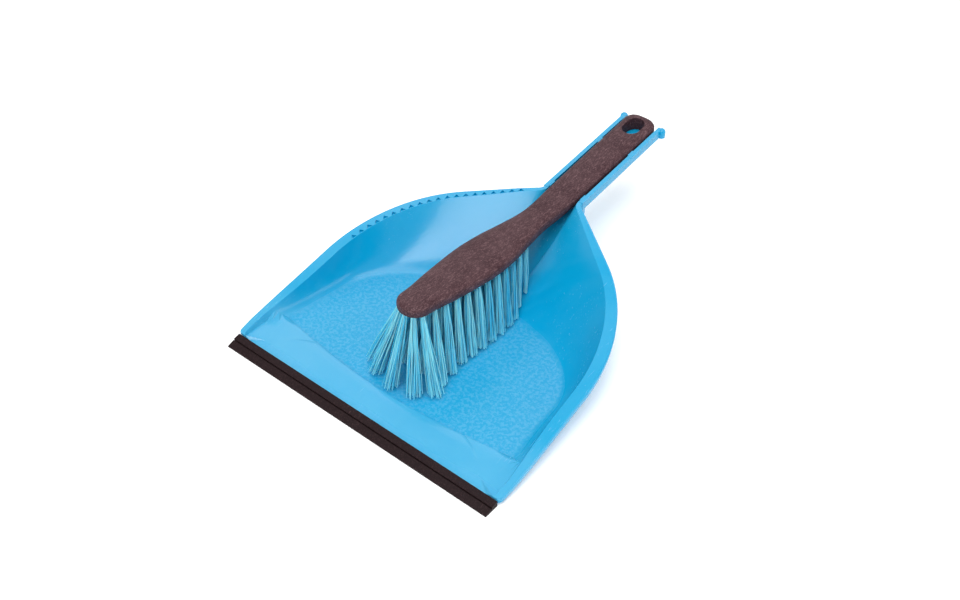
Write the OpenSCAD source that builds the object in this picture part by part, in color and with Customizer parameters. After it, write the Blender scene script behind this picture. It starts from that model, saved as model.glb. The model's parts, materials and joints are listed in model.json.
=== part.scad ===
// Dust pan with a rubber lip, and a hand brush that clips into its channel handle.
// Millimetres, +Z up. Y runs from the lip (front) to the end of the handle.
// Inside the modules Y = 0 is the front edge of the lip and Z = 0 the surface the pan rests on;
// centred() then moves the origin to the middle of the pan's footprint.

/* [Pan] */
// Width across the rim
pan_w = 235; // [200:1:270]
// Length from the lip to the end of the handle
pan_len = 334; // [320:1:380]
// Thickness of the moulded sheet
sheet_t = 2.2; // [1.6:0.1:3]
// Distance from the lip to the widest point of the round back
back_y = 95; // [85:1:105]
// Reach of the round back behind that point
back_reach = 119; // [105:1:130]
// Angle, from straight back, at which the outline leaves the round for the shoulder
shoulder_angle = 34; // [30:1:40]
// Height of the rim at the lip
rim_front_z = 2.9; // [2.5:0.1:4]
// Steady rise of the rim per 100 mm of length
rim_rise = 20.6; // [16:0.2:24]
// Extra rise of the rim at 100 mm, growing with the square of the length
rim_curve = 0.9; // [0:0.1:2]
// Width of the flat rim along the sides
rim_w = 8.5; // [5:0.5:12]
// Width of the flat rim at its front ends
rim_end_w = 5; // [4:0.5:8]
// Depth of the turned-down edge of the rim
rim_skirt = 3.4; // [2.6:0.1:6]

/* [Basin and ramp] */
// Half width of the flat floor
floor_half_w = 100; // [80:1:110]
// Distance from the lip to the middle of the floor
floor_y = 85; // [75:1:95]
// Reach of the flat floor behind its middle
floor_reach = 66; // [50:1:75]
// Radius-like run of the blend between floor and wall
floor_blend = 9; // [4:1:14]
// Height of the ramp just behind the rubber strip
ramp_start_z = 3.4; // [3:0.1:4]
// Distance from the lip to the ramp's crest at the side walls
crest_side_y = 45; // [40:1:55]
// How much nearer the lip the crest is at its middle
crest_bow = 9; // [4:1:14]
// Height of the crest above the surface below
crest_z = 5.8; // [4.5:0.1:8]
// Horizontal run of the step from the crest down to the floor
crest_run = 2.4; // [1.5:0.1:4]

/* [Rim comb] */
// Number of notches on the left rim
notch_n = 20; // [8:1:22]
// Spacing of the notches along the rim
notch_pitch = 6.8; // [5:0.1:8]
// Width of a notch at the inner edge of the rim
notch_w = 4.4; // [2:0.1:4.6]
// Length of a notch across the rim
notch_len = 3.4; // [2:0.1:4.5]
// Distance along the rim from the channel's mouth to the first notch
notch_from = 25; // [15:1:50]
// Depth of a notch below the top of the rim
notch_depth = 1.4; // [0.6:0.1:1.5]

/* [Lip strip] */
// Length of the rubber strip
lip_len = 230; // [190:1:260]
// Depth of the strip from front to back
lip_depth = 11.2; // [9:0.1:15]
// Height of the strip at its back edge
lip_h = 4.4; // [4:0.1:6]
// Height of the strip's front edge
lip_edge = 0.6; // [0.4:0.1:1.2]
// Distance from the front edge to the groove that parts blade and clamp
groove_y = 5.4; // [4:0.1:6]
// Width of that groove
groove_w = 0.7; // [0.4:0.1:1]
// Depth of that groove
groove_depth = 0.6; // [0.3:0.1:0.8]
// Step up from the blade to the clamp behind the groove
clamp_rise = 0.9; // [0.6:0.1:1.4]
// Thickness of the pan's tongue inside the strip
tongue_t = 1.5; // [1.2:0.1:1.7]
// Height of the tongue's underside
tongue_z = 1; // [0.8:0.1:1.1]
// Distance from the front edge to the tongue's tip
tongue_y = 6.9; // [6.6:0.1:8]
// Solid rubber beyond each end of the tongue
lip_end = 10; // [9:0.5:14]
// Clearance between the tongue and its slot
tongue_gap = 0.1; // [0.05:0.05:0.2]

/* [Pan handle] */
// Width of the channel over its walls
channel_w = 34.8; // [33:0.1:42]
// Thickness of the channel's walls
channel_wall = 3.2; // [2:0.1:4]
// Height of the channel's wall tops at the root
channel_z = 53.6; // [50:0.1:58]
// Distance from the lip to the root of the handle
root_y = 226; // [220:1:236]
// Upward slope of the handle in degrees
handle_slope = 6.1; // [4:0.1:8]
// Radius of the channel's outer bottom corners
channel_r = 4; // [2:0.5:6]
// Radius of the fillet where the rim turns into the handle
root_r = 6; // [4:0.5:10]
// Radius of the rounded bead at each wall's end
bead_r = 3; // [2.2:0.1:4]
// Length of each clip nub
nub_len = 6; // [4:0.5:8]
// Height of each clip nub
nub_h = 1.8; // [1:0.1:2.5]
// Distances of the clip nubs behind the root
nub_steps = [8, 68];

/* [Brush] */
// Half width of the brush's handle at its end
grip_half_w = 13; // [11:0.1:15]
// Half width of the neck between grip and head
neck_half_w = 11; // [9:0.1:13]
// Half width of the widest part of the head
head_half_w = 18.4; // [16:0.1:21]
// Half width of the head near its tip
tip_half_w = 12; // [10:0.1:14]
// Thickness of the grip
grip_t = 11; // [9:0.5:13]
// Thickness of the head
head_t = 11; // [10:0.5:13]
// Distance from the lip to the tip of the head
tip_y = 56; // [50:1:70]
// Gap between the brush's end and the end of the pan's handle
end_gap = 1.6; // [0:0.1:4]
// Height of the grip's top above the channel's wall tops
grip_rise = 4; // [2:0.1:6]
// Drop of the head's slope against the grip's, per 100 mm
head_drop = 13.2; // [8:0.2:18]
// Extra upward curve of the head at 100 mm from the neck
head_curve = 3.2; // [0:0.2:6]
// Clearance between the grip and the channel's floor
grip_gap = 0.4; // [0.3:0.1:1]
// Clearance between the grip and the clip nubs
nub_gap = 0.3; // [0.2:0.05:0.6]
// Length of the hanging hole
hang_len = 20; // [12:0.5:24]
// Width of the hanging hole
hang_w = 14; // [8:0.5:16]
// Distance from the middle of the hanging hole to the brush's end
hang_from_end = 15; // [12:0.5:24]

/* [Bristles] */
// Diameter of a tuft hole
tuft_d = 4; // [3:0.1:4.4]
// Depth of a tuft hole
tuft_depth = 7; // [5:0.5:8]
// Diameter of a tuft at its free end
tuft_tip_d = 8; // [5:0.1:8.4]
// Spacing of the tufts along the head
tuft_pitch = 9.6; // [9:0.1:12]
// Columns of four tufts behind the front arc
tuft_columns = 11; // [6:1:11]
// Distance of the outer rows' holes in from the edge of the head
tuft_edge = 4.2; // [4:0.1:5]
// Distance of the inner rows from the middle of the head
inner_row_x = 4.2; // [3.4:0.1:5]
// Outward splay of the outer rows in degrees
row_splay = 12; // [0:1:18]
// Forward lean of the tufts in degrees
tuft_lean = 9; // [0:1:14]
// How much wider the front arc's tufts spread at their tips
arc_flare = 2.6; // [0:0.1:3]
// Extra lean and splay of the front arc in degrees
front_splay = 9.5; // [0:0.5:12]
// Height of the bristle tips above the pan's floor
tip_gap = 2; // [1:0.1:6]
// Thickness of an anchor's strip
anchor_t = 0.35; // [0.2:0.05:0.5]
// Height of an anchor
anchor_h = 1.8; // [1:0.1:2.5]
// Bite of each end of an anchor into the head
anchor_bite = 0.3; // [0.1:0.1:0.5]

/* [Hidden] */
$fn = 48;
NEAR = 0.3;              // air between the strip and the front ends of the rim
BURY = 0.25;             // how far the scoop's root lies inside the channel's walls
FLOOR_Z = sheet_t;       // the floor's underside rests on the surface below
slope_k = tan(handle_slope);
half_w = pan_w / 2;
SIDE_TAPER = 2;          // how much less the half width is at the widest point of the back
SIDE_BOW = 0.8;          // outward bow of the sides
CORNER_R = 3.4;          // radius of the rim's front corners
side_half = half_w - SIDE_TAPER;
front_half = half_w - SIDE_BOW;
shoulder_k = (back_reach / side_half) * tan(shoulder_angle);
channel_in = channel_w / 2 - channel_wall;
channel_drop = grip_t - grip_rise + grip_gap;
brush_end_y = pan_len - end_gap;
brush_l = brush_end_y - tip_y;
neck_y = root_y - 21;
FRONT_ARC = [-72, -36, 0, 36, 72];
ROW_GAP = 1.7;           // material between an outer and an inner hole at the head's underside
END_CAP = 9;             // length over which the grip's end is rounded
TUFTS = tuft_list();

// ---------- shared curves ----------

function lerp(a, b, t) = a + (b - a) * t;
function clamp01(t) = max(0, min(1, t));
function flat(v) = [v[0], v[1], 0];
function unit(v) = v / norm(v);
function rim_z(y) = rim_front_z + rim_rise * y / 100 + rim_curve * pow(y / 100, 2);
function wall_top_z(y) = channel_z + slope_k * (y - root_y);
function tuft_name(i) = str("tuft_", i < 9 ? "0" : "", i + 1);

// Smooth curve through [u, value] points, with slopes taken from the neighbours.
function knot_slope(k, i) =
    i == 0 || i == len(k) - 1 ? 0 : (k[i + 1][1] - k[i - 1][1]) / (k[i + 1][0] - k[i - 1][0]);
function knot_span(k, u, i = 0) = i >= len(k) - 2 || u <= k[i + 1][0] ? i : knot_span(k, u, i + 1);
function smooth_at(k, u) =
    let (i = knot_span(k, u))
    let (h = k[i + 1][0] - k[i][0])
    let (t = clamp01((u - k[i][0]) / h))
    (2 * t * t * t - 3 * t * t + 1) * k[i][1]
    + (t * t * t - 2 * t * t + t) * h * knot_slope(k, i)
    + (3 * t * t - 2 * t * t * t) * k[i + 1][1]
    + (t * t * t - t * t) * h * knot_slope(k, i + 1);

// ---------- outline of the pan, right half, from the lip to the handle ----------

rim_start = lip_depth + NEAR;
tongue_half = lip_len / 2 - lip_end;
shoulder_p = [side_half * sin(shoulder_angle), back_y + back_reach * cos(shoulder_angle)];
fillet_turn = 90 - atan(shoulder_k);
root_half = channel_w / 2 - BURY;
fillet_c = let (x = root_half + root_r)
    [x, shoulder_p[1] + shoulder_k * (shoulder_p[0] - x) + root_r / cos(atan(shoulder_k))];
mouth_y = fillet_c[1] + 3;
LIP_STEPS = 12;
SIDE_STEPS = 10;
NOTCH_SILL = 0.5;        // solid edge between a notch and the rim's inner edge
MOUTH_LIP = 3.4;         // how far the floor of the channel's mouth reaches past its walls' root
BACK_STEPS = 26;

// Each entry is [x, y, kind]: 0 = tongue, 1 = rim, 2 = mouth of the channel.
right_half = concat(
    [for (i = [0:LIP_STEPS]) [tongue_half * i / LIP_STEPS, tongue_y, 0]],
    [[tongue_half + 1, rim_start + 0.1, 0]],
    [for (a = [-70:23:0])
        [front_half + CORNER_R * (cos(a) - 1), rim_start + 0.2 + CORNER_R * (1 + sin(a)), 1]],
    [for (i = [1:SIDE_STEPS]) let (t = i / SIDE_STEPS)
        [lerp(front_half, side_half, t) + SIDE_BOW * sin(180 * sqrt(t)),
         lerp(rim_start + CORNER_R + 1.2, back_y, t), 1]],
    [for (i = [1:BACK_STEPS]) let (a = lerp(90, shoulder_angle, i / BACK_STEPS))
        [side_half * sin(a), back_y + back_reach * cos(a), 1]],
    [for (i = [1:4]) let (t = i / 4)
        [lerp(shoulder_p[0], fillet_c[0] - root_r * cos(fillet_turn), t * 0.98),
         lerp(shoulder_p[1], fillet_c[1] - root_r * sin(fillet_turn), t * 0.98), 1]],
    [for (i = [1:5]) let (a = 180 + fillet_turn * (1 - i / 5))
        [fillet_c[0] + root_r * cos(a), fillet_c[1] + root_r * sin(a), 1]],
    [[root_half, mouth_y, 1]],
    [for (x = [1, 0.66, 0.33]) [x * (channel_in - 0.5), mouth_y + MOUTH_LIP, 2]]
);
left_half = [for (i = [len(right_half) - 1:-1:1]) [-right_half[i][0], right_half[i][1], right_half[i][2]]];
outline = concat(right_half, [[0, mouth_y + MOUTH_LIP, 2]], left_half);
NP = len(outline);

// Width of the flat rim at a distance y behind the lip.
function rim_width(y) = smooth_at([
    [rim_start, rim_end_w],
    [back_y * 0.8, rim_w],
    [back_y + back_reach * 0.8, rim_w - 1],
    [mouth_y - 5, channel_wall + 0.6],
    [mouth_y, channel_wall]
], y);

// Outward direction at an outline point; square to the channel's walls and mouth at the root.
function out_dir(i) =
    let (p = outline[i])
    let (a = outline[(i + NP - 1) % NP])
    let (b = outline[(i + 1) % NP])
    p[2] == 2 ? [0, 1, 0]
    : p[1] >= fillet_c[1] - 0.01 && abs(p[0]) < root_half + 1 ? [sign(p[0]), 0, 0]
    : p[2] == 1 && p[1] < rim_start + 4 ? [sign(p[0]), 0, 0]
    : unit([b[1] - a[1], a[0] - b[0], 0]);

function rim_inner(i) = flat(outline[i]) - rim_width(outline[i][1]) * out_dir(i);

// 1 where the rim has become the channel's wall, falling to 0 over the fillet.
function root_share(p) =
    p[2] == 1 && p[1] > back_y ? clamp01(1.2 - (abs(p[0]) - root_half) / root_r) : 0;

// Distance from the floor's middle to its edge in direction a (the crest's foot at the front).
OVAL = 2.3;              // squareness of the floor's back: 2 is an ellipse
crest_half_w = floor_half_w + 3;
crest_angle = atan2(crest_side_y - floor_y, crest_half_w);
function side_angle(a) = a > 90 ? 180 - a : a < -90 ? -180 - a : a;
function floor_edge(a) =
    let (s = abs(sin(a)))
    let (c = cos(a))
    a >= 0 ? pow(pow(c / floor_half_w, OVAL) + pow(s / floor_reach, OVAL), -1 / OVAL)
    : a >= crest_angle ? lerp(floor_half_w, crest_half_w, a / crest_angle) / c
    : let (d = floor_y - crest_side_y + crest_bow)
      2 * d / (s + sqrt(s * s + 4 * crest_bow * c * c * d / pow(crest_half_w, 2)));

// Height of the ramp between the strip and the crest, at the plan point p.
function crest_y(x) = crest_side_y - crest_bow * (1 - pow(x / crest_half_w, 2));
function ramp_z(p) =
    lerp(ramp_start_z, crest_z,
        clamp01((p[1] - rim_start) / (crest_y(p[0]) - crest_run - rim_start)));
function on_ramp(p) = [p[0], p[1], ramp_z(p)];
function bezier(a, b, c, t) = (1 - t) * (1 - t) * a + 2 * t * (1 - t) * b + t * t * c;

WALL_STEPS = 9;
RAMP_END = 9;            // index, along a front line, of the ramp's last point before the tongue
// The top surface along one line from the floor's middle to the edge.
function top_line(i) =
    let (b = outline[i])
    let (mid = [0, floor_y, FLOOR_Z])
    let (dir = unit([b[0], b[1] - floor_y, 0]))
    let (ang = side_angle(atan2(b[1] - floor_y, b[0])))
    let (foot = mid + floor_edge(ang) * dir)
    b[2] == 0 ? front_line(b, mid, foot, dir)
    : ang < crest_angle ? corner_line(i, b, mid, foot, dir)
    : wall_line(i, b, mid, foot, dir);

function front_line(b, mid, foot, dir) =
    let (crest = foot + crest_run * dir)
    let (edge = [b[0], b[1], 0])
    let (k = (floor_y - rim_start) / (floor_y - b[1]))
    let (rear = flat(mid + (edge - flat(mid)) * min(k, 0.997)))
    concat(
        [lerp(mid, foot, 0.5), lerp(mid, foot, 0.9), foot - 0.6 * dir, foot + 0.3 * dir],
        [[crest[0], crest[1], crest_z - 0.4]],
        [for (t = [0.05, 0.25, 0.5, 0.75, 1]) on_ramp(lerp(flat(crest), rear, t))],
        [for (t = k > 1 ? [0.4, 0.8, 1] : [0.03, 0.6, 1]) let (p = lerp(rear, edge, t))
            [p[0], p[1], k > 1 && t < 0.5 ? ramp_z(p) : tongue_z + tongue_t]]
    );

function corner_line(i, b, mid, foot, dir) =
    let (n = out_dir(i))
    let (crest = foot + crest_run * dir)
    let (edge = [b[0], b[1], rim_z(b[1])])
    let (inner = edge - rim_width(b[1]) * n)
    let (wall = flat(inner - (0.35 * max(0, inner[2] - ramp_z(inner)) + 0.5) * n))
    let (w = on_ramp(wall))
    concat(
        [lerp(mid, foot, 0.5), lerp(mid, foot, 0.9), foot - 0.6 * dir, foot + 0.3 * dir],
        [[crest[0], crest[1], crest_z - 0.4]],
        [for (t = [0.25, 0.5, 0.8]) on_ramp(lerp(flat(crest), wall, t))],
        [w, inner],
        rim_edge(edge, inner, n)
    );

function wall_line(i, b, mid, foot, dir) =
    let (n = out_dir(i))
    let (mouth = b[2] == 2)
    let (edge_z = mouth ? wall_top_z(b[1]) - channel_drop - BURY
        : min(rim_z(b[1]), abs(b[0]) < root_half + root_r ? wall_top_z(b[1]) - BURY : 99))
    let (edge = [b[0], b[1], edge_z])
    let (inner = mouth ? edge - [0, MOUTH_LIP - 0.4, 0.4] : edge - rim_width(b[1]) * n)
    let (start = foot - floor_blend * dir)
    let (run = flat(inner - foot))
    let (bend = foot + 0.22 * run)
    concat(
        [lerp(mid, start, 0.55)],
        [for (k = [0:WALL_STEPS - 1]) bezier(start, bend, inner, k / (WALL_STEPS - 1))],
        rim_edge(edge, inner, n)
    );

function rim_edge(edge, inner, n) = [
    lerp(inner, edge, max(0.15, 1 - (sheet_t + 0.8) / norm(edge - inner))),
    edge - 0.7 * n,
    edge - [0, 0, 0.7]
];

// The closed line: top surface outwards, round the edge, and back along the underside.
function full_line(i) =
    let (b = outline[i])
    let (top = top_line(i))
    let (m = len(top))
    let (deep = root_share(b) * (channel_drop + 2 * sheet_t - rim_skirt))
    concat(
        top,
        b[2] == 1 ? skirt_edge(top[m - 1], out_dir(i), deep)
        : plain_edge(top[m - 1], top[m - 3], b[2] == 0 ? top[m - 1][2] - tongue_z : sheet_t),
        [for (k = [m - 3:-1:0]) under(top, k, b[2] == 0, deep)]
    );

function plain_edge(edge, back, t) =
    let (low = edge - [0, 0, t])
    let (rear = back - [0, 0, t])
    [low, lerp(low, rear, 0.25), lerp(low, rear, 0.6)];

function skirt_edge(edge, n, deep) =
    let (drop = min(rim_skirt - 0.7 + deep, edge[2] - 0.5))
    let (low = edge - [0, 0, drop])
    let (lift = max(0.2, drop + 0.7 - sheet_t - deep))
    [low, low - 0.6 * sheet_t * n, low - sheet_t * n + [0, 0, lift]];

// A point of the underside: straight below the top surface, by more where the sheet is steep.
function under(top, k, tongue, deep) =
    let (d = top[k + 1] - top[max(k - 1, 0)])
    let (steep = min(2, norm(d) / max(0.01, norm(flat(d)))))
    let (t = tongue && k >= RAMP_END ? top[k][2] - tongue_z
        : sheet_t * steep + deep * clamp01(1.6 * k / len(top) - 0.2))
    [top[k][0], top[k][1], max(0, top[k][2] - t)];

// Closed skin over the lines, with a pole above and below the floor's middle.
module scoop() {
    lines = [for (i = [0:NP - 1]) full_line(i)];
    m = len(lines[0]);
    points = concat(
        [[0, floor_y, FLOOR_Z]],
        [for (l = lines) for (p = l) p],
        [[0, floor_y, 0]]
    );
    last = NP * m + 1;
    polyhedron(points, concat(
        [for (i = [0:NP - 1]) let (j = (i + 1) % NP) [0, 1 + j * m, 1 + i * m]],
        [for (i = [0:NP - 1]) for (k = [0:m - 2]) for (t = [0, 1]) skin_face(i, k, t, m)],
        [for (i = [0:NP - 1]) let (j = (i + 1) % NP) [last, i * m + m, j * m + m]]
    ));
}

// One of the two triangles between neighbouring lines, split alike on the left and the right.
function skin_face(i, k, t, m) =
    let (a = 1 + i * m + k)
    let (b = 1 + (i + 1) % NP * m + k)
    i < NP / 2
    ? (t == 0 ? [a, b, b + 1] : [a, b + 1, a + 1])
    : (t == 0 ? [a, b, a + 1] : [b, b + 1, a + 1]);

module centred() {
    translate([0, -pan_len / 2, 0])
        children();
}

// Places a child in the pan handle's own slope, at y behind the lip, with z = 0 at the wall tops.
module on_handle(y) {
    translate([0, y, wall_top_z(y)])
        rotate([handle_slope, 0, 0])
            children();
}

// Section of the channel: a U with round bottom corners, its wall tops at y = 0.
module channel_section() {
    floor_h = channel_drop + sheet_t;
    difference() {
        rounded_floor(channel_w / 2, floor_h, channel_r);
        translate([0, 1])
            rounded_floor(channel_in, channel_drop + 1, channel_r - 1);
    }
}

module rounded_floor(w, h, r) {
    translate([-w, -h + r])
        square([2 * w, h - r]);
    translate([-w + r, -h])
        square([2 * (w - r), h]);
    for (s = [-1, 1])
        translate([s * (w - r), -h + r])
            circle(r);
}

module channel() {
    run = (pan_len - bead_r - mouth_y + 4) / cos(handle_slope);
    on_handle(mouth_y - 4)
        rotate([90, 0, 180])
            linear_extrude(run)
                channel_section();
    for (s = [-1, 1])
        translate([s * (channel_w / 2 - channel_wall + bead_r), pan_len - bead_r, 0])
            wall_bead(wall_top_z(pan_len - bead_r));
}

// Rounded post that ends one wall of the channel.
module wall_bead(z) {
    h = channel_drop - bead_r;
    translate([0, 0, z - bead_r])
        sphere(bead_r);
    translate([0, 0, z - bead_r - h])
        cylinder(r = bead_r, h = h);
}

module clip_nubs() {
    reach = channel_in - grip_half_w - nub_gap;
    for (step = nub_steps)
        for (s = [-1, 1])
            on_handle(root_y + step)
                translate([s * (channel_in - reach / 2 + 0.5), 0, -nub_h / 2 - 0.1])
                    cube([reach + 1, nub_len, nub_h], center = true);
}

// Inner edge of the rim's left side, from the handle to the lip.
rail = [for (i = [0:NP - 1]) if (outline[i][2] == 1 && outline[i][0] < 0)
    rim_inner(i) + [0, 0, rim_z(outline[i][1])]];

// Point and direction at distance s along the rail.
function rail_at(s, j = 0) =
    let (step = rail[j + 1] - rail[j])
    s > norm(step) ? rail_at(s - norm(step), j + 1) : [rail[j] + s * unit(step), unit(step)];

// Triangular notches along the inner edge of the left rim, points outwards.
module rim_comb() {
    for (k = [0:notch_n - 1]) {
        at = rail_at(notch_from + k * notch_pitch);
        translate(at[0] - [0, 0, notch_depth])
            rotate([0, 0, atan2(-at[1][0], at[1][1])])
                translate([NOTCH_SILL, 0, 0])
                    linear_extrude(notch_depth + 3)
                        polygon([[0, -notch_w / 2], [notch_len, 0], [0, notch_w / 2]]);
    }
}

module pan_body() {
    color([0.1, 0.62, 0.85])
        centred()
            difference() {
                union() {
                    scoop();
                    channel();
                    clip_nubs();
                }
                rim_comb();
            }
}

// ---------- rubber strip on the front edge ----------

module lip_strip() {
    front_h = lip_edge + (lip_h - lip_edge) * groove_y / lip_depth;
    color([0.2, 0.14, 0.16])
        centred()
            difference() {
                along_x(lip_len)
                    polygon([
                        [0, 0],
                        [lip_depth, 0],
                        [lip_depth, lip_h],
                        [groove_y + groove_w, front_h + clamp_rise],
                        [groove_y + groove_w, front_h - groove_depth],
                        [groove_y, front_h - groove_depth],
                        [groove_y, front_h],
                        [0, lip_edge]
                    ]);
                along_x(2 * (tongue_half + tongue_gap + 1))
                    translate([tongue_y - tongue_gap, tongue_z - tongue_gap])
                        square([lip_depth, tongue_t + 2 * tongue_gap]);
            }
}

// Extrudes a section drawn in Y and Z along X, centred.
module along_x(length) {
    translate([-length / 2, 0, 0])
        rotate([90, 0, 90])
            linear_extrude(length)
                children();
}

// ---------- brush: grip and head moulded in one ----------

// Half width at distance u behind the tip of the head.
function brush_half_w(u) =
    let (knots = [
        [tip_half_w, tip_half_w],
        [40, lerp(tip_half_w, head_half_w, 0.55)],
        [72, head_half_w],
        [95, lerp(neck_half_w, head_half_w, 0.86)],
        [neck_y - tip_y - 34, lerp(neck_half_w, head_half_w, 0.42)],
        [neck_y - tip_y - 11, neck_half_w],
        [neck_y - tip_y + 20, lerp(neck_half_w, grip_half_w, 0.45)],
        [brush_l, grip_half_w]
    ])
    u < tip_half_w ? sqrt(max(0, u * (2 * tip_half_w - u)))
    : u > brush_l - END_CAP
    ? grip_half_w * pow(max(0, 1 - pow((u - brush_l + END_CAP) / END_CAP, 3)), 1 / 3)
    : smooth_at(knots, u);

// Height of the top surface: straight along the grip, rising again towards the tip.
function brush_top(y) =
    let (d = (y - neck_y - sqrt(pow(y - neck_y, 2) + 64)) / 2)
    wall_top_z(y) + grip_rise / cos(handle_slope) - head_drop * d / 100 + head_curve * pow(d / 100, 2);

function brush_thick(u) =
    let (full = lerp(head_t, grip_t, clamp01((u - neck_y + tip_y) / 30)))
    let (w = brush_half_w(u))
    u < tip_half_w ? full * pow(w / tip_half_w, 0.5)
    : u > brush_l - END_CAP ? full * pow(w / grip_half_w, 0.5)
    : full;

function head_under(y) = brush_top(y) - head_t;

// Rounded-box section at distance u, as points in space.
RIM_PTS = 28;
BOX = 0.62;              // 1 makes the section an ellipse, smaller makes it squarer
function brush_ring(u) =
    let (w = brush_half_w(u))
    let (t = brush_thick(u))
    let (full = lerp(head_t, grip_t, clamp01((u - neck_y + tip_y) / 30)))
    let (y = tip_y + u)
    let (mid = brush_top(y) - full / 2)
    [for (k = [0:RIM_PTS - 1]) let (a = 360 * k / RIM_PTS)
        [w * sign(cos(a)) * pow(abs(cos(a)), BOX), y, mid + t / 2 * sign(sin(a)) * pow(abs(sin(a)), BOX)]];

module brush_blank() {
    steps = concat(
        [0.15, 0.7, 1.8, 3.4, 5.4, 8, 11],
        [for (k = [0:44]) lerp(14, brush_l - END_CAP - 1, k / 44)],
        [for (d = [7, 4.5, 2.6, 1.2, 0.4, 0.05]) brush_l - d]
    );
    rings = [for (u = steps) brush_ring(u)];
    nr = len(rings);
    polyhedron(
        [for (r = rings) for (p = r) p],
        concat(
            [[for (k = [RIM_PTS - 1:-1:0]) k]],
            [for (i = [0:nr - 2]) for (k = [0:RIM_PTS - 1]) let (n = (k + 1) % RIM_PTS)
                [i * RIM_PTS + k, (i + 1) * RIM_PTS + n, (i + 1) * RIM_PTS + k]],
            [for (i = [0:nr - 2]) for (k = [0:RIM_PTS - 1]) let (n = (k + 1) % RIM_PTS)
                [i * RIM_PTS + k, i * RIM_PTS + n, (i + 1) * RIM_PTS + n]],
            [[for (k = [0:RIM_PTS - 1]) (nr - 1) * RIM_PTS + k]]
        )
    );
}

module hanging_hole() {
    y = brush_end_y - hang_from_end;
    r = hang_w / 2;
    on_handle(y)
        translate([0, 0, -grip_t]) {
            for (s = [-1, 1])
                translate([0, s * (hang_len / 2 - r), 0])
                    cylinder(r = r, h = 3 * grip_t);
            translate([-r, r - hang_len / 2, 0])
                cube([hang_w, hang_len - hang_w, 3 * grip_t]);
        }
}

module brush_body() {
    color([0.38, 0.29, 0.31])
        centred()
            difference() {
                brush_blank();
                hanging_hole();
                for (t = TUFTS)
                    at_tuft(t)
                        translate([0, 0, -tuft_depth])
                            cylinder(d = tuft_d, h = 3 * tuft_depth);
            }
}

// ---------- bristle tufts ----------

// Distance behind the head's tip at which four holes first fit side by side.
function first_column_u() =
    let (need = tuft_edge + 1.5 * tuft_d + ROW_GAP + NEAR)
    [for (u = [tip_half_w + 9:0.5:brush_l / 2]) if (brush_half_w(u) >= need) u][0];

// Each tuft is [x, y, sideways slope, forward slope, tip diameter] at the head's underside.
function tuft_list() =
    let (arc_r = tip_half_w - tuft_edge + 1.6)
    let (first = tip_y + first_column_u())
    concat(
        [for (a = FRONT_ARC)
            [arc_r * sin(a), tip_y + tip_half_w - arc_r * cos(a),
             tan(row_splay + front_splay) * sin(a), tan(tuft_lean + front_splay * max(0, cos(a))),
             tuft_tip_d + arc_flare]],
        [for (k = [0:tuft_columns - 1]) for (row = [-1, -0.33, 0.33, 1])
            let (y = first + k * tuft_pitch)
            let (edge = brush_half_w(y - tip_y) - tuft_edge)
            let (fan = clamp01(1 - (k + 1) / 3) * front_splay)
            [abs(row) == 1 ? row * edge : sign(row) * min(inner_row_x, edge - tuft_d - ROW_GAP), y,
             tan(row_splay + fan) * row, tan(tuft_lean + fan * 0.8), tuft_tip_d]]
    );

// Z axis along the tuft, pointing from its hole to its tips, with 0 at the head's underside.
module at_tuft(t) {
    dir = unit([t[2], -t[3], -1]);
    translate([t[0], t[1], head_under(t[1])])
        rotate([0, acos(dir[2]), atan2(dir[1], dir[0])])
            children();
}

module tuft(t) {
    reach = head_under(t[1]) * 1.6;
    seat = tuft_depth - anchor_h;
    color([0.35, 0.68, 0.86])
        centred()
            intersection() {
                at_tuft(t) {
                    translate([0, 0, -seat])
                        cylinder(d = tuft_d, h = seat + 0.01);
                    cylinder(d1 = tuft_d, d2 = lerp(tuft_d, t[4], 1.6), h = reach);
                }
                above_floor();
            }
}

// The space above the trimmed tips: level over the floor, rising over the foot of the back wall.
module above_floor() {
    z = FLOOR_Z + tip_gap;
    rise_y = floor_y + floor_reach - 4;
    rise_run = 40;
    rise_h = 18;
    along_x(pan_w)
        polygon([
            [0, z],
            [rise_y, z],
            [rise_y + rise_run, z + rise_h],
            [rise_y + rise_run, 2 * channel_z],
            [0, 2 * channel_z]
        ]);
}

// Flat metal strips that hold the folded bristles at the bottom of their holes.
module tuft_anchors() {
    color([0.75, 0.76, 0.78])
        centred()
            for (t = TUFTS)
                at_tuft(t)
                    translate([0, 0, -tuft_depth + anchor_h / 2])
                        cube([tuft_d + 2 * anchor_bite, anchor_t, anchor_h], center = true);
}

pan_body();
lip_strip();
brush_body();
tuft_anchors();
for (i = [0:len(TUFTS) - 1])
    tuft(TUFTS[i]);
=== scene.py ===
"""Dust pan and hand brush: finishes for the moulded parts, separate filaments for the tufts."""

import json
import math
import random

import bpy
from mathutils import Matrix, Vector

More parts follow.
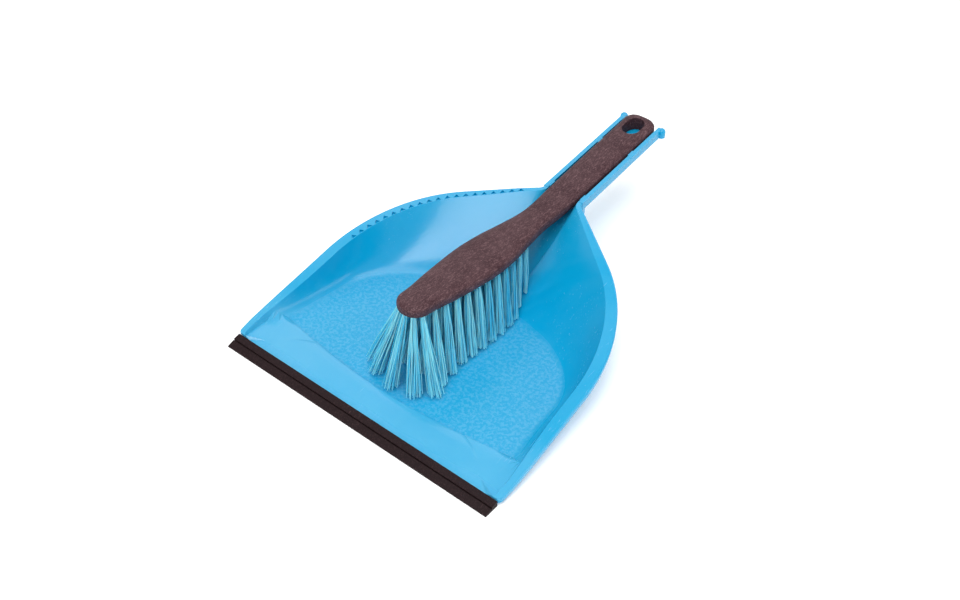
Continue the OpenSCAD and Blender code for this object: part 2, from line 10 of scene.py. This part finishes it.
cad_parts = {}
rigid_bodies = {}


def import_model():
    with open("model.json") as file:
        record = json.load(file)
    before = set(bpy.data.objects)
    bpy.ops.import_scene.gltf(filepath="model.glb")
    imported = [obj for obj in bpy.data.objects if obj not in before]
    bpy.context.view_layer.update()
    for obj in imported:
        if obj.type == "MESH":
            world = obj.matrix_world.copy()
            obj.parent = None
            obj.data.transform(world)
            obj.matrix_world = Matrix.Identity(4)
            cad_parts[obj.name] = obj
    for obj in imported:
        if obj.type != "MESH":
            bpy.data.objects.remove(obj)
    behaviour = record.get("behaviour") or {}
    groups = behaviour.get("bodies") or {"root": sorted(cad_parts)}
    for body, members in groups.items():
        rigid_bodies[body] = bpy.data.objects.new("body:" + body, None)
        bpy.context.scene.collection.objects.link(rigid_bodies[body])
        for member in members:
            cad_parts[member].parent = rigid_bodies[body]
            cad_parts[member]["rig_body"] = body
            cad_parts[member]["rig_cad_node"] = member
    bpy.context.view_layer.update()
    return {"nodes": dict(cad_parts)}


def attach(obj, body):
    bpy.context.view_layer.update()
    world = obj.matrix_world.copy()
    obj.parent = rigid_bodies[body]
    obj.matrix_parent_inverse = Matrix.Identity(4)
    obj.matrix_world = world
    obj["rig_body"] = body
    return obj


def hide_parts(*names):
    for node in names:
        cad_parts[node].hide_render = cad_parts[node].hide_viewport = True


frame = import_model()
NODES = frame["nodes"]
TUFTS = sorted(n for n in NODES if n.startswith("tuft_") and n[5:].isdigit())
MM = 0.001

# Where the pan's floor ends upwards, and where its ramp runs, in metres.
FLOOR_LOW, FLOOR_HIGH = 2.3 * MM, 4.2 * MM
RAMP_FRONT, RAMP_BACK = -125 * MM, -105 * MM
# Vertices closer than this are one vertex.
WELD = 0.002 * MM
# Slices at a tuft's two ends that give its end radii, and how far the roots stay inside the hole.
TIP_SLICE, ROOT_SLICE, ROOT_INSET = 0.4 * MM, 0.9 * MM, 0.3 * MM
SLICE_SLACK = 0.001 * MM
# Turn from one filament to the next, so that they fill a tuft evenly.
GOLDEN_TURN = math.pi * (3 - math.sqrt(5))
# Turn from one ring of a filament to the next, in radians.
RING_TURN = 1.3
BRISTLE_SEED = 20
# Name, place, size and the setting that holds the power of each studio light.
LIGHTS = (
    ("key_light", (-1.9, 1.6, 2.4), (2.0, 1.4), "key_power"),
    ("top_light", (0.4, -0.2, 3.0), (2.2, 2.2), "top_power"),
    ("front_light", (0.25, -1.25, 1.5), (0.9, 0.6), "front_power"),
    ("side_light", (2.2, 0.9, 1.3), (1.0, 1.2), "side_power"),
)
CAMERA_PLACE = Vector((0.3957, -0.5148, 0.5805))
CAMERA_AIM = Vector((0.0026, -0.0360, 0.0200))
CAMERA_LENS = 45.0
CAMERA_ROLL = math.radians(0.15)

bl_info = {
    "name": "Dust Pan and Brush",
    "version": (1, 0, 0),
    "blender": (4, 5, 0),
    "location": "View3D > Sidebar > Dust Pan",
    "description": "Finishes, bristles and studio for a dust pan with a clip-in hand brush",
    "category": "Object",
}


# ---------- sizes and colours that a user would change ----------


def colour_prop(name, description, default):
    return bpy.props.FloatVectorProperty(
        name=name, description=description, subtype="COLOR", size=3, min=0, max=1, default=default
    )


def length_prop(name, description, default, low, high):
    return bpy.props.FloatProperty(
        name=name, description=description, unit="LENGTH", subtype="DISTANCE",
        default=default, min=low, max=high, precision=5,
    )


def power_prop(name, description, default):
    return bpy.props.FloatProperty(
        name=name, description=description, subtype="POWER", default=default, min=0, max=500
    )


class DustpanColours(bpy.types.PropertyGroup):
    pan: colour_prop("Pan", "Colour of the moulded pan", (0.0, 0.33, 0.60))
    pan_milky: colour_prop(
        "Pan sheen", "Paler blue where the plastic looks milky", (0.13, 0.46, 0.69)
    )
    brush: colour_prop("Brush", "Ground colour of the brush moulding", (0.040, 0.014, 0.019))
    brush_fleck: colour_prop(
        "Fleck", "Colour of the pale fibres in the brush moulding", (0.23, 0.13, 0.14)
    )
    lip: colour_prop("Lip", "Colour of the rubber strip", (0.012, 0.005, 0.006))
    bristle: colour_prop("Bristle", "Main colour of the bristles", (0.03, 0.50, 0.86))
    bristle_pale: colour_prop("Pale bristle", "Colour of the palest bristles", (0.31, 0.88, 1.0))
    anchor: colour_prop("Anchor", "Colour of the tuft anchors", (0.62, 0.61, 0.58))
    floor: colour_prop("Floor", "Colour of the floor", (0.93, 0.93, 0.93))


class DustpanBristles(bpy.types.PropertyGroup):
    per_tuft: bpy.props.IntProperty(
        name="Per tuft", description="Filaments in each tuft", default=56, min=10, max=90
    )
    thick: length_prop("Thickness", "Diameter of a filament", 0.00052, 0.0002, 0.0008)
    wander: length_prop(
        "Wander", "How far a filament strays from a straight line", 0.0005, 0, 0.002
    )
    uneven: length_prop("Unevenness", "How much the tips differ in height", 0.0011, 0, 0.004)
    spread: bpy.props.FloatProperty(
        name="Spread", description="Share of the tuft's width that the tips fill",
        subtype="FACTOR", default=1.0, min=0.6, max=1.2,
    )


class DustpanStudio(bpy.types.PropertyGroup):
    floor_size: length_prop("Floor size", "Side of the square floor", 6.0, 1, 20)
    key_power: power_prop("Key light", "Power of the large light behind and to the left", 12.0)
    top_power: power_prop("Top light", "Power of the broad light overhead", 46.0)
    front_power: power_prop("Front light", "Power of the small softbox in front", 11.0)
    side_power: power_prop("Side light", "Power of the light to the right", 7.0)
    sky: bpy.props.FloatProperty(
        name="Sky", description="Strength of the even light all round", default=0.6, min=0, max=3
    )


# ---------- shader node helpers ----------


def set_inputs(node, values):
    for name, value in values.items():
        socket = node.inputs[name]
        held = socket.default_value
        if hasattr(held, "__len__") and len(held) == 4 and len(value) == 3:
            value = (*value, 1.0)
        socket.default_value = value


def add_node(tree, kind, values=None, **settings):
    node = tree.nodes.new(kind)
    for name, value in settings.items():
        setattr(node, name, value)
    set_inputs(node, values or {})
    return node


def new_material(name):
    mat = bpy.data.materials.new(name)
    mat.use_nodes = True
    tree = mat.node_tree
    tree.nodes.clear()
    out = add_node(tree, "ShaderNodeOutputMaterial")
    shader = add_node(tree, "ShaderNodeBsdfPrincipled")
    tree.links.new(shader.outputs["BSDF"], out.inputs["Surface"])
    return mat, tree, shader


def new_group(name, inputs, outputs):
    """An empty shader group: inputs and outputs are {name: (socket type, default)}."""
    group = bpy.data.node_groups.new(name, "ShaderNodeTree")
    for label, (kind, default) in inputs.items():
        socket = group.interface.new_socket(name=label, in_out="INPUT", socket_type=kind)
        if default is not None:
            socket.default_value = default
    for label, kind in outputs.items():
        group.interface.new_socket(name=label, in_out="OUTPUT", socket_type=kind)
    enter = add_node(group, "NodeGroupInput")
    leave = add_node(group, "NodeGroupOutput")
    return group, enter, leave


def place_group(tree, group, values):
    node = add_node(tree, "ShaderNodeGroup", node_tree=group)
    set_inputs(node, values)
    return node


def noise(tree, vector, scale, detail=3.0, rough=0.55, distortion=0.0):
    node = add_node(tree, "ShaderNodeTexNoise", {
        "Scale": scale, "Detail": detail, "Roughness": rough, "Distortion": distortion,
    })
    tree.links.new(vector, node.inputs["Vector"])
    return node.outputs["Fac"]


def maths(tree, operation, a, b=None, clamp=False):
    node = add_node(tree, "ShaderNodeMath", operation=operation, use_clamp=clamp)
    for socket, value in zip(node.inputs, (a, b)):
        if value is None:
            continue
        if isinstance(value, (int, float)):
            socket.default_value = value
        else:
            tree.links.new(value, socket)
    return node.outputs[0]


def spread(tree, value, low, high, to_low=0.0, to_high=1.0):
    node = add_node(tree, "ShaderNodeMapRange", {
        "From Min": low, "From Max": high, "To Min": to_low, "To Max": to_high,
    }, clamp=True)
    tree.links.new(value, node.inputs["Value"])
    return node.outputs["Result"]


def mix_colour(tree, factor, a, b):
    node = add_node(tree, "ShaderNodeMix", data_type="RGBA")
    for socket, value in ((node.inputs[0], factor), (node.inputs[6], a), (node.inputs[7], b)):
        if hasattr(value, "is_linked"):
            tree.links.new(value, socket)
        elif isinstance(value, (int, float)):
            socket.default_value = value
        else:
            socket.default_value = (*value, 1.0)
    return node.outputs[2]


def bump(tree, height, distance):
    node = add_node(tree, "ShaderNodeBump", {"Distance": distance, "Strength": 1.0})
    tree.links.new(height, node.inputs["Height"])
    return node.outputs["Normal"]


def object_point(tree):
    return add_node(tree, "ShaderNodeTexCoord").outputs["Object"]


# ---------- shared effects ----------


def grain_group():
    """Fine moulded grain: a height and a speckle mask at one scale."""
    tree, enter, leave = new_group(
        "Moulded grain",
        {"Vector": ("NodeSocketVector", None), "Scale": ("NodeSocketFloat", 900.0)},
        {"Height": "NodeSocketFloat", "Speckle": "NodeSocketFloat"},
    )
    fine = add_node(tree, "ShaderNodeTexNoise", {"Detail": 2.0, "Roughness": 0.6})
    coarse = add_node(tree, "ShaderNodeTexNoise", {"Detail": 2.0, "Roughness": 0.5})
    tree.links.new(enter.outputs["Vector"], fine.inputs["Vector"])
    tree.links.new(enter.outputs["Vector"], coarse.inputs["Vector"])
    tree.links.new(enter.outputs["Scale"], fine.inputs["Scale"])
    tree.links.new(maths(tree, "MULTIPLY", enter.outputs["Scale"], 0.4), coarse.inputs["Scale"])
    height = maths(tree, "ADD", maths(tree, "MULTIPLY", fine.outputs["Fac"], 0.6),
                   maths(tree, "MULTIPLY", coarse.outputs["Fac"], 0.4))
    tree.links.new(height, leave.inputs["Height"])
    tree.links.new(spread(tree, fine.outputs["Fac"], 0.52, 0.68), leave.inputs["Speckle"])
    return tree


def scuff_group():
    """Faint rubbed patches and hair scratches, as a mask."""
    tree, enter, leave = new_group(
        "Scuffs",
        {"Vector": ("NodeSocketVector", None), "Amount": ("NodeSocketFloat", 0.5)},
        {"Mask": "NodeSocketFloat"},
    )
    turned = add_node(tree, "ShaderNodeMapping", {
        "Rotation": (0, 0, 0.7), "Scale": (1.0, 0.06, 1.0),
    })
    tree.links.new(enter.outputs["Vector"], turned.inputs["Vector"])
    hair = spread(tree, noise(tree, turned.outputs["Vector"], 900.0, 2.0), 0.62, 0.72)
    patch = spread(tree, noise(tree, enter.outputs["Vector"], 22.0, 4.0, 0.6, 0.4), 0.48, 0.66)
    mask = maths(tree, "MULTIPLY", maths(tree, "MULTIPLY", hair, patch), enter.outputs["Amount"])
    tree.links.new(mask, leave.inputs["Mask"])
    return tree


# ---------- materials ----------


def pan_material(colours, grain, scuffs):
    mat, tree, shader = new_material("pan_plastic")
    point = object_point(tree)
    xyz = add_node(tree, "ShaderNodeSeparateXYZ")
    tree.links.new(point, xyz.inputs[0])
    on_floor = spread(tree, xyz.outputs["Z"], FLOOR_LOW, FLOOR_HIGH, 1.0, 0.0)
    textured = place_group(tree, grain, {"Scale": 700.0})
    tree.links.new(point, textured.inputs["Vector"])
    rubbed = place_group(tree, scuffs, {"Amount": 0.35})
    tree.links.new(point, rubbed.inputs["Vector"])
    cloud = noise(tree, point, 16.0, 4.0, 0.6, 0.8)
    mottle = noise(tree, point, 420.0, 3.0, 0.7)
    on_ramp = spread(tree, xyz.outputs["Y"], RAMP_FRONT, RAMP_BACK, 0.35, 0.0)
    clouded = maths(tree, "MULTIPLY", spread(tree, cloud, 0.42, 0.68), 0.12)
    mottled = maths(tree, "MULTIPLY", on_floor, spread(tree, mottle, 0.44, 0.6))
    milky = maths(tree, "ADD", clouded, maths(tree, "MULTIPLY", mottled, 0.38))
    off_floor = maths(tree, "SUBTRACT", 1.0, on_floor)
    milky = maths(tree, "ADD", milky, maths(tree, "MULTIPLY", on_ramp, off_floor))
    milky = maths(tree, "ADD", milky, rubbed.outputs["Mask"], clamp=True)
    tinted = mix_colour(tree, milky, colours.pan, colours.pan_milky)
    tree.links.new(tinted, shader.inputs["Base Color"])
    rough = maths(tree, "ADD", maths(tree, "MULTIPLY", on_floor, 0.24),
                  maths(tree, "MULTIPLY", spread(tree, cloud, 0.3, 0.7), 0.06))
    rough = maths(tree, "ADD", rough, maths(tree, "MULTIPLY", rubbed.outputs["Mask"], 0.3))
    tree.links.new(maths(tree, "ADD", rough, 0.2), shader.inputs["Roughness"])
    grained = maths(tree, "MULTIPLY", textured.outputs["Height"],
                    maths(tree, "ADD", on_floor, 0.05))
    wavy = maths(tree, "MULTIPLY", noise(tree, point, 45.0, 2.0), 0.8)
    height = maths(tree, "ADD", grained, wavy)
    tree.links.new(bump(tree, height, 0.18 * MM), shader.inputs["Normal"])
    set_inputs(shader, {
        "IOR": 1.5, "Specular IOR Level": 0.42, "Coat Weight": 0.1, "Coat Roughness": 0.1,
        "Subsurface Weight": 0.12, "Subsurface Radius": (0.3, 0.7, 1.0),
        "Subsurface Scale": 2 * MM,
    })
    return mat


def brush_material(colours, grain, scuffs):
    mat, tree, shader = new_material("brush_plastic")
    point = object_point(tree)
    along = add_node(tree, "ShaderNodeMapping", {"Scale": (1.0, 0.3, 1.0)})
    tree.links.new(point, along.inputs["Vector"])
    textured = place_group(tree, grain, {"Scale": 1500.0})
    tree.links.new(point, textured.inputs["Vector"])
    fibres = spread(tree, noise(tree, along.outputs["Vector"], 900.0, 3.0, 0.65), 0.5, 0.7)
    cloud = spread(tree, noise(tree, point, 60.0, 3.0, 0.6), 0.35, 0.7)
    fleck = maths(tree, "ADD", maths(tree, "MULTIPLY", textured.outputs["Speckle"], 0.45),
                  maths(tree, "MULTIPLY", fibres, 0.38))
    fleck = maths(tree, "ADD", fleck, maths(tree, "MULTIPLY", cloud, 0.14), clamp=True)
    rubbed = place_group(tree, scuffs, {"Amount": 0.4})
    tree.links.new(point, rubbed.inputs["Vector"])
    fleck = maths(tree, "ADD", fleck, rubbed.outputs["Mask"], clamp=True)
    flecked = mix_colour(tree, fleck, colours.brush, colours.brush_fleck)
    tree.links.new(flecked, shader.inputs["Base Color"])
    rough = spread(tree, textured.outputs["Height"], 0.35, 0.65, 0.42, 0.62)
    tree.links.new(rough, shader.inputs["Roughness"])
    tree.links.new(bump(tree, textured.outputs["Height"], 0.22 * MM), shader.inputs["Normal"])
    set_inputs(shader, {"IOR": 1.48, "Specular IOR Level": 0.22})
    return mat


def lip_material(colours, grain, scuffs):
    mat, tree, shader = new_material("lip_rubber")
    point = object_point(tree)
    textured = place_group(tree, grain, {"Scale": 1600.0})
    tree.links.new(point, textured.inputs["Vector"])
    rubbed = place_group(tree, scuffs, {"Amount": 0.8})
    tree.links.new(point, rubbed.inputs["Vector"])
    dust = maths(tree, "ADD", maths(tree, "MULTIPLY", textured.outputs["Speckle"], 0.12),
                 maths(tree, "MULTIPLY", rubbed.outputs["Mask"], 0.3), clamp=True)
    dusty = mix_colour(tree, dust, colours.lip, colours.brush_fleck)
    tree.links.new(dusty, shader.inputs["Base Color"])
    rough = spread(tree, textured.outputs["Height"], 0.35, 0.65, 0.48, 0.66)
    tree.links.new(rough, shader.inputs["Roughness"])
    tree.links.new(bump(tree, textured.outputs["Height"], 0.12 * MM), shader.inputs["Normal"])
    set_inputs(shader, {"IOR": 1.5, "Specular IOR Level": 0.14})
    return mat


def bristle_material(colours):
    mat, tree, shader = new_material("bristle")
    shade = add_node(tree, "ShaderNodeAttribute", attribute_name="shade").outputs["Fac"]
    along = add_node(tree, "ShaderNodeAttribute", attribute_name="along").outputs["Fac"]
    lit = mix_colour(tree, shade, colours.bristle, colours.bristle_pale)
    # Painted highlight: the last tenth of each filament is mixed up to halfway toward the pale
    # colour, standing in for light catching the tips.
    painted_tip_highlight = maths(tree, "MULTIPLY", spread(tree, along, 0.9, 1.0), 0.5)
    tip_highlighted = mix_colour(tree, painted_tip_highlight, lit, colours.bristle_pale)
    tree.links.new(tip_highlighted, shader.inputs["Base Color"])
    tree.links.new(spread(tree, shade, 0.0, 1.0, 0.28, 0.45), shader.inputs["Roughness"])
    pitted = noise(tree, object_point(tree), 1500.0, 2.0)
    tree.links.new(bump(tree, pitted, 0.05 * MM), shader.inputs["Normal"])
    set_inputs(shader, {
        "IOR": 1.5, "Subsurface Weight": 0.5, "Subsurface Radius": (0.3, 0.8, 1.0),
        "Subsurface Scale": 2 * MM,
    })
    return mat


def anchor_material(colours):
    mat, tree, shader = new_material("anchor_steel")
    point = object_point(tree)
    drawn = add_node(tree, "ShaderNodeMapping", {"Scale": (1.0, 0.1, 1.0)})
    tree.links.new(point, drawn.inputs["Vector"])
    lines = noise(tree, drawn.outputs["Vector"], 3000.0, 2.0)
    dull = tuple(0.7 * c for c in colours.anchor)
    streaked = mix_colour(tree, spread(tree, lines, 0.3, 0.7), colours.anchor, dull)
    tree.links.new(streaked, shader.inputs["Base Color"])
    tree.links.new(spread(tree, lines, 0.3, 0.7, 0.28, 0.42), shader.inputs["Roughness"])
    set_inputs(shader, {"Metallic": 1.0})
    return mat


def floor_material(colours):
    mat, tree, shader = new_material("studio_floor")
    point = object_point(tree)
    faint = spread(tree, noise(tree, point, 3.0, 2.0), 0.3, 0.7, 0.0, 1.0)
    darker = tuple(0.985 * c for c in colours.floor)
    tree.links.new(mix_colour(tree, faint, colours.floor, darker), shader.inputs["Base Color"])
    set_inputs(shader, {"Roughness": 0.7, "IOR": 1.3, "Emission Color": colours.floor[:],
                        "Emission Strength": 0.22})
    return mat


# ---------- modelling helpers ----------


def select_only(obj):
    bpy.ops.object.select_all(action="DESELECT")
    obj.hide_viewport = False
    obj.select_set(True)
    bpy.context.view_layer.objects.active = obj


def finish_material(obj, mat):
    obj.data.materials.clear()
    obj.data.materials.append(mat)


def smooth_copy(node, name, angle):
    """A copy of a CAD node with its loose triangles merged and its curved faces shaded smooth."""
    select_only(NODES[node])
    bpy.ops.object.duplicate()
    piece = bpy.context.view_layer.objects.active
    piece.name = name
    piece.data.name = name
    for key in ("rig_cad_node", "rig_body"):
        if key in piece:
            del piece[key]
    piece.parent = None
    bpy.ops.mesh.customdata_custom_splitnormals_clear()
    bpy.ops.object.mode_set(mode="EDIT")
    bpy.ops.mesh.select_all(action="SELECT")
    bpy.ops.mesh.remove_doubles(threshold=WELD)
    bpy.ops.object.mode_set(mode="OBJECT")
    bpy.ops.object.shade_smooth_by_angle(angle=angle)
    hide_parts(node)
    return piece


def settle(piece, body):
    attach(piece, body)


# ---------- operators ----------


class DUSTPAN_OT_stage(bpy.types.Operator):
    """Add the floor, the soft studio lights and the camera"""

    bl_idname = "dustpan.stage"
    bl_label = "Studio"
    bl_options = {"REGISTER", "UNDO"}

    def execute(self, context):
        studio = context.scene.dustpan_studio
        bpy.ops.object.select_all(action="DESELECT")
        bpy.ops.mesh.primitive_plane_add(size=studio.floor_size, location=(0, 0, -0.0002))
        floor = context.active_object
        floor.name = "studio_floor"
        bpy.ops.object.transform_apply(location=True)
        finish_material(floor, floor_material(context.scene.dustpan_colours))
        for name, place, size, power in LIGHTS:
            bpy.ops.object.light_add(type="AREA", location=place)
            light = context.active_object
            light.name = name
            light.data.shape = "RECTANGLE"
            light.data.size, light.data.size_y = size
            light.data.energy = getattr(studio, power)
            light.rotation_euler = (-Vector(place)).to_track_quat("-Z", "Y").to_euler()
        world = bpy.data.worlds.new("studio_air")
        world.use_nodes = True
        background = world.node_tree.nodes["Background"]
        set_inputs(background, {"Color": (1, 1, 1), "Strength": studio.sky})
        context.scene.world = world
        context.scene.view_settings.view_transform = "Standard"
        bpy.ops.object.camera_add(location=CAMERA_PLACE)
        camera = context.active_object
        camera.name = "studio_camera"
        camera.data.sensor_width = 36.0
        camera.data.lens = CAMERA_LENS
        camera.data.clip_start = 0.01
        turn = (CAMERA_AIM - CAMERA_PLACE).to_track_quat("-Z", "Y").to_matrix().to_4x4()
        camera.rotation_euler = (turn @ Matrix.Rotation(CAMERA_ROLL, 4, "Z")).to_euler()
        context.scene.camera = camera
        return {"FINISHED"}


class DUSTPAN_OT_pan(bpy.types.Operator):
    """Give the moulded pan its smooth curves and its glossy plastic"""

    bl_idname = "dustpan.pan"
    bl_label = "Pan"
    bl_options = {"REGISTER", "UNDO"}

    def execute(self, context):
        piece = smooth_copy("pan_body", "pan_shell", math.radians(32))
        grain, scuffs = shared_groups()
        finish_material(piece, pan_material(context.scene.dustpan_colours, grain, scuffs))
        settle(piece, "pan")
        return {"FINISHED"}


class DUSTPAN_OT_lip(bpy.types.Operator):
    """Give the rubber strip its finish"""

    bl_idname = "dustpan.lip"
    bl_label = "Lip strip"
    bl_options = {"REGISTER", "UNDO"}

    def execute(self, context):
        piece = smooth_copy("lip_strip", "lip_rubber_strip", math.radians(30))
        grain, scuffs = shared_groups()
        finish_material(piece, lip_material(context.scene.dustpan_colours, grain, scuffs))
        settle(piece, "pan")
        return {"FINISHED"}


class DUSTPAN_OT_brush(bpy.types.Operator):
    """Give the brush's grip and head their grained finish, and the anchors their steel"""

    bl_idname = "dustpan.brush"
    bl_label = "Brush"
    bl_options = {"REGISTER", "UNDO"}

    def execute(self, context):
        colours = context.scene.dustpan_colours
        grain, scuffs = shared_groups()
        piece = smooth_copy("brush_body", "brush_moulding", math.radians(40))
        finish_material(piece, brush_material(colours, grain, scuffs))
        settle(piece, "brush")
        finish_material(NODES["tuft_anchors"], anchor_material(colours))
        return {"FINISHED"}


class DUSTPAN_OT_bristles(bpy.types.Operator):
    """Replace each solid tuft by a bundle of separate filaments"""

    bl_idname = "dustpan.bristles"
    bl_label = "Bristles"
    bl_options = {"REGISTER", "UNDO"}

    STEPS = 5
    SIDES = 5
    STYLES = 6

    def execute(self, context):
        settings = context.scene.dustpan_bristles
        mat = bristle_material(context.scene.dustpan_colours)
        rng = random.Random(BRISTLE_SEED)
        styles = [self.filament(settings, rng) for _ in range(self.STYLES)]
        for name in TUFTS:
            self.bundle(context, name, styles, settings, rng, mat)
        for style in styles:
            bpy.data.meshes.remove(style)
        return {"FINISHED"}

    def filament(self, settings, rng):
        """One filament of unit length along +Z, extruded ring by ring from a small polygon."""
        bpy.ops.object.select_all(action="DESELECT")
        bpy.ops.mesh.primitive_circle_add(
            vertices=self.SIDES, radius=settings.thick / 2, fill_type="NGON",
            location=(0, 0, 0), enter_editmode=False,
        )
        piece = bpy.context.active_object
        bpy.ops.object.mode_set(mode="EDIT")
        bpy.ops.mesh.select_all(action="SELECT")
        bpy.ops.mesh.flip_normals()
        turn = rng.uniform(0, math.tau)
        stray = rng.uniform(0.3, 1.0) * settings.wander
        for k in range(self.STEPS):
            a = turn + RING_TURN * k
            step = (stray * math.cos(a), stray * math.sin(a), 1 / self.STEPS)
            bpy.ops.mesh.extrude_region_move(TRANSFORM_OT_translate={"value": step})
        bpy.ops.mesh.select_all(action="SELECT")
        bpy.ops.mesh.normals_make_consistent(inside=False)
        bpy.ops.object.mode_set(mode="OBJECT")
        bpy.ops.object.shade_smooth_by_angle(angle=math.radians(80))
        mesh = piece.data
        along = mesh.attributes.new("along", "FLOAT", "POINT")
        along.data.foreach_set("value", [v.co.z for v in mesh.vertices])
        mesh.attributes.new("shade", "FLOAT", "POINT")
        bpy.data.objects.remove(piece)
        return mesh

    def tuft_line(self, name):
        """Root, tip, root radius and tip radius of a tuft, from the shape of its solid."""
        points = [v.co for v in NODES[name].data.vertices]
        low = min(p.z for p in points)
        high = max(p.z for p in points)
        ends = []
        for z0, z1 in ((low, low + TIP_SLICE), (high - ROOT_SLICE, high)):
            near = [p for p in points if z0 - SLICE_SLACK <= p.z <= z1]
            centre = sum((Vector(p) for p in near), Vector()) / len(near)
            reach = sum((Vector(p) - centre).to_2d().length for p in near) / len(near)
            ends.append((centre, reach))
        return ends[1][0], ends[0][0], ends[1][1], ends[0][1]

    def bundle(self, context, name, styles, settings, rng, mat):
        root, tip, root_r, tip_r = self.tuft_line(name)
        axis = (tip - root).normalized()
        side = axis.orthogonal().normalized()
        across = axis.cross(side)
        tuft_shade = rng.uniform(-0.12, 0.12)
        parts = []
        for k in range(settings.per_tuft):
            r = math.sqrt((k + 0.5) / settings.per_tuft)
            a = k * GOLDEN_TURN + rng.uniform(-0.3, 0.3)
            flare = settings.spread * rng.uniform(0.85, 1.12)
            out = side * math.cos(a) + across * math.sin(a)
            start = root + out * r * (root_r - ROOT_INSET)
            end = tip + out * r * flare * tip_r
            drop = (tip.z - end.z + rng.uniform(0, 1) * settings.uneven) / axis.z
            end = end + axis * drop
            line = end - start
            frame_z = line.normalized()
            frame_x = frame_z.orthogonal().normalized()
            spin = Matrix.Rotation(rng.uniform(0, math.tau), 3, frame_z)
            frame_x = spin @ frame_x
            frame_y = frame_z.cross(frame_x)
            place = Matrix((frame_x, frame_y, frame_z * line.length)).transposed().to_4x4()
            place.translation = start
            mesh = styles[k % len(styles)].copy()
            mesh.transform(place)
            shade = min(1.0, max(0.0, rng.betavariate(1.0, 1.1) + tuft_shade))
            mesh.attributes["shade"].data.foreach_set("value", [shade] * len(mesh.vertices))
            part = bpy.data.objects.new("filament", mesh)
            context.scene.collection.objects.link(part)
            parts.append(part)
        bpy.ops.object.select_all(action="DESELECT")
        for part in parts:
            part.select_set(True)
        context.view_layer.objects.active = parts[0]
        bpy.ops.object.join()
        piece = context.view_layer.objects.active
        piece.name = "bristles_" + name[5:]
        piece.data.name = piece.name
        finish_material(piece, mat)
        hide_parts(name)
        settle(piece, "brush")


class DUSTPAN_PT_panel(bpy.types.Panel):
    bl_idname = "DUSTPAN_PT_panel"
    bl_label = "Dust Pan and Brush"
    bl_space_type = "VIEW_3D"
    bl_region_type = "UI"
    bl_category = "Dust Pan"

    def draw(self, context):
        for kind in OPERATORS:
            self.layout.operator(kind.bl_idname)
        scene = context.scene
        for group in (scene.dustpan_colours, scene.dustpan_bristles, scene.dustpan_studio):
            box = self.layout.box()
            for name in group.__annotations__:
                box.prop(group, name)


def shared_groups():
    """The grain and scuff groups, made once."""
    groups = bpy.data.node_groups
    return (
        groups.get("Moulded grain") or grain_group(),
        groups.get("Scuffs") or scuff_group(),
    )


SETTINGS = (DustpanColours, DustpanBristles, DustpanStudio)
OPERATORS = (
    DUSTPAN_OT_stage,
    DUSTPAN_OT_pan,
    DUSTPAN_OT_lip,
    DUSTPAN_OT_brush,
    DUSTPAN_OT_bristles,
)
CLASSES = (*SETTINGS, *OPERATORS, DUSTPAN_PT_panel)


def register():
    for kind in CLASSES:
        bpy.utils.register_class(kind)
    bpy.types.Scene.dustpan_colours = bpy.props.PointerProperty(type=DustpanColours)
    bpy.types.Scene.dustpan_bristles = bpy.props.PointerProperty(type=DustpanBristles)
    bpy.types.Scene.dustpan_studio = bpy.props.PointerProperty(type=DustpanStudio)


def unregister():
    del bpy.types.Scene.dustpan_studio
    del bpy.types.Scene.dustpan_bristles
    del bpy.types.Scene.dustpan_colours
    for kind in reversed(CLASSES):
        bpy.utils.unregister_class(kind)


def main():
    register()
    bpy.ops.dustpan.stage()
    bpy.ops.dustpan.pan()
    bpy.ops.dustpan.lip()
    bpy.ops.dustpan.brush()
    bpy.ops.dustpan.bristles()


if __name__ == "__main__":
    main()
